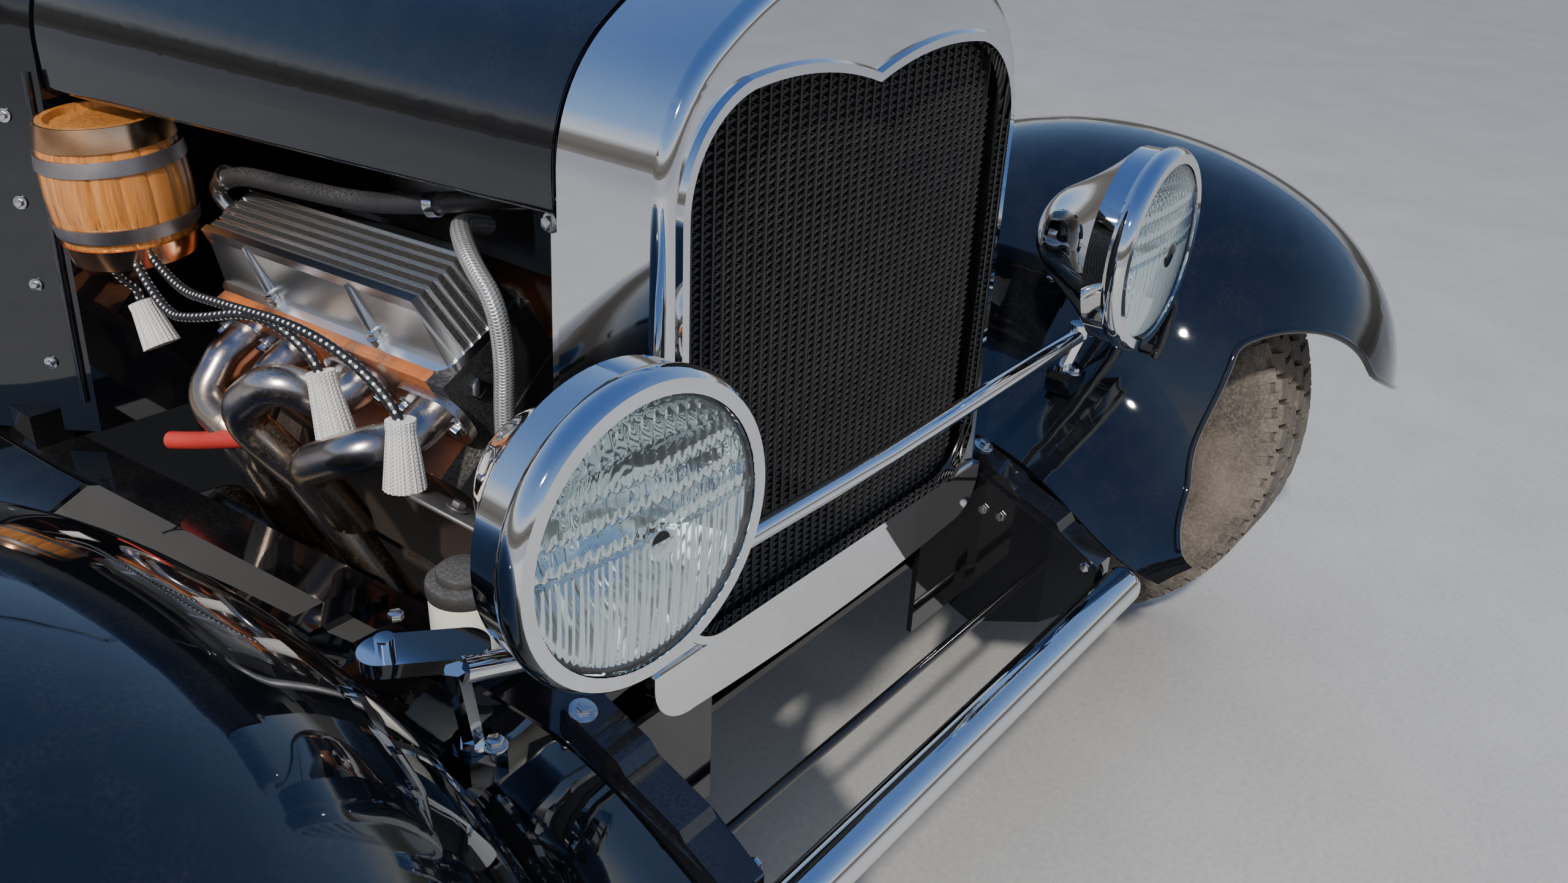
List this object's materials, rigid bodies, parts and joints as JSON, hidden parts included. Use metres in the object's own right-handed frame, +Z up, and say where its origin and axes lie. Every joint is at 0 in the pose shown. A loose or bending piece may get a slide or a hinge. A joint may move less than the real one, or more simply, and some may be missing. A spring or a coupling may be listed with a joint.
{
  "type": "fendered roadster hot rod",
  "caption": "Open two-seat hot rod with upright chrome grille shell, full fenders, open-sided V engine bay, chrome lamps on a bar, opening doors, hood halves and deck lid.",
  "frame": {"origin": "on the ground below the middle of the overall length, on the car's centre plane", "axes": "front faces -Y, +X to the car's left side, +Z up"},
  "size_m": [1.736, 3.6332, 1.3909],
  "materials": {
    "black_frame": "satin black paint on the frame and suspension",
    "black_paint": "deep gloss black body paint",
    "chrome": "bright chrome plate",
    "core_black": "satin black radiator core",
    "lens_glass": "fluted clear glass",
    "screen_glass": "flat clear glass",
    "engine_paint": "orange engine paint",
    "polished_aluminium": "polished cast aluminium, blackened between fins",
    "header_steel": "stainless pipe with heat tint",
    "dark_metal": "dark metal accessories",
    "oak": "varnished oak staves",
    "hoop_metal": "copper and grey metal hoops",
    "seat_leather": "black leather",
    "dash_paint": "black dashboard",
    "wheel_rim_grip": "black steering wheel",
    "wheel_paint": "black steel wheels with chrome caps",
    "tyre_rubber": "dusty black tyre rubber"
  },
  "bodies": {
    "chassis": {"frame": "black_frame", "spreader_bars": "chrome", "front_axle": "black_frame", "springs": "black_frame", "rear_axle": "black_frame", "radiator_shell": "chrome", "radiator_core": "core_black", "hood_hinge": "chrome", "body_tub": "black_paint", "front_fenders": "black_paint", "rear_fenders": "black_paint", "running_boards": "black_paint", "headlamp_bowls": "chrome", "headlamp_lenses": "lens_glass", "headlamp_bar": "chrome", "windshield_frame": "chrome", "windshield_glass": "screen_glass", "engine_block": "engine_paint", "gearbox": "black_frame", "valve_covers": "polished_aluminium", "exhaust_headers": "header_steel", "exhaust_pipes": "header_steel", "intake": "polished_aluminium", "fan_and_pulleys": "dark_metal", "keg": "oak", "keg_bands": "hoop_metal", "seat_cushion": "seat_leather", "seat_back": "seat_leather", "dashboard": "dash_paint", "steering_column": "black_frame", "cockpit_controls": "wheel_rim_grip", "tail_lamps": "chrome", "fuel_tank": "black_frame", "horn_covers": "black_frame"},
    "knuckle_left": {"knuckle_left": "black_frame"},
    "knuckle_right": {"knuckle_right": "black_frame"},
    "tie_rod": {"tie_rod": "black_frame"},
    "steering_wheel": {"steering_wheel": "wheel_rim_grip"},
    "wheel_front_left": {"wheel_front_left": "wheel_paint", "tyre_front_left": "tyre_rubber"},
    "wheel_front_right": {"wheel_front_right": "wheel_paint", "tyre_front_right": "tyre_rubber"},
    "wheel_rear_left": {"wheel_rear_left": "wheel_paint", "tyre_rear_left": "tyre_rubber"},
    "wheel_rear_right": {"wheel_rear_right": "wheel_paint", "tyre_rear_right": "tyre_rubber"},
    "hood_left": {"hood_left": "black_paint"},
    "hood_right": {"hood_right": "black_paint"},
    "door_left": {"door_left": "black_paint"},
    "door_right": {"door_right": "black_paint"},
    "deck_lid": {"deck_lid": "black_paint"}
  },
  "joints": [
    {"name": "steer_left", "type": "hinge", "parent": "chassis", "child": "knuckle_left", "pos_m": [0.63, -1.396, 0.33], "axis": [0, 0, 1], "range_deg": [-26, 26]},
    {"name": "steer_right", "type": "hinge", "parent": "chassis", "child": "knuckle_right", "pos_m": [-0.63, -1.396, 0.33], "axis": [0, 0, 1], "range_deg": [-26, 26]},
    {"name": "tie_rod_pivot", "type": "hinge", "parent": "knuckle_left", "child": "tie_rod", "pos_m": [0.63, -1.266, 0.204], "axis": [0, 0, 1], "range_deg": [-26, 26]},
    {"name": "steering_wheel_turn", "type": "hinge", "parent": "chassis", "child": "steering_wheel", "pos_m": [0.262, -0.244, 0.985], "axis": [0, 0.8146, 0.58], "range_deg": [-364, 364]},
    {"name": "roll_front_left", "type": "hinge", "parent": "knuckle_left", "child": "wheel_front_left", "pos_m": [0.729, -1.396, 0.33], "axis": [1, 0, 0], "continuous": true},
    {"name": "roll_rear_left", "type": "hinge", "parent": "chassis", "child": "wheel_rear_left", "pos_m": [0.72, 1.233, 0.362], "axis": [1, 0, 0], "continuous": true},
    {"name": "door_left_swing", "type": "hinge", "parent": "chassis", "child": "door_left", "pos_m": [0.518, -0.4565, 0.7], "axis": [0, 0, -1], "range_deg": [0, 65]},
    {"name": "hood_left_lift", "type": "hinge", "parent": "chassis", "child": "hood_left", "pos_m": [0.012, -1.429, 0.9565], "axis": [0, -0.9994, -0.0349], "range_deg": [0, 70]},
    {"name": "roll_front_right", "type": "hinge", "parent": "knuckle_right", "child": "wheel_front_right", "pos_m": [-0.729, -1.396, 0.33], "axis": [1, 0, 0], "continuous": true},
    {"name": "roll_rear_right", "type": "hinge", "parent": "chassis", "child": "wheel_rear_right", "pos_m": [-0.72, 1.233, 0.362], "axis": [1, 0, 0], "continuous": true},
    {"name": "door_right_swing", "type": "hinge", "parent": "chassis", "child": "door_right", "pos_m": [-0.518, -0.4565, 0.7], "axis": [0, 0, 1], "range_deg": [0, 65]},
    {"name": "hood_right_lift", "type": "hinge", "parent": "chassis", "child": "hood_right", "pos_m": [-0.012, -1.429, 0.9565], "axis": [0, 0.9994, 0.0349], "range_deg": [0, 70]},
    {"name": "deck_lid_lift", "type": "hinge", "parent": "chassis", "child": "deck_lid", "pos_m": [0, 0.5435, 1.021], "axis": [1, 0, 0], "range_deg": [0, 60]}
  ],
  "couplings": [
    {"joint": "steer_right", "follows": "steer_left", "ratio": 1},
    {"joint": "tie_rod_pivot", "follows": "steer_left", "ratio": -1},
    {"joint": "steering_wheel_turn", "follows": "steer_left", "ratio": 14}
  ]
}
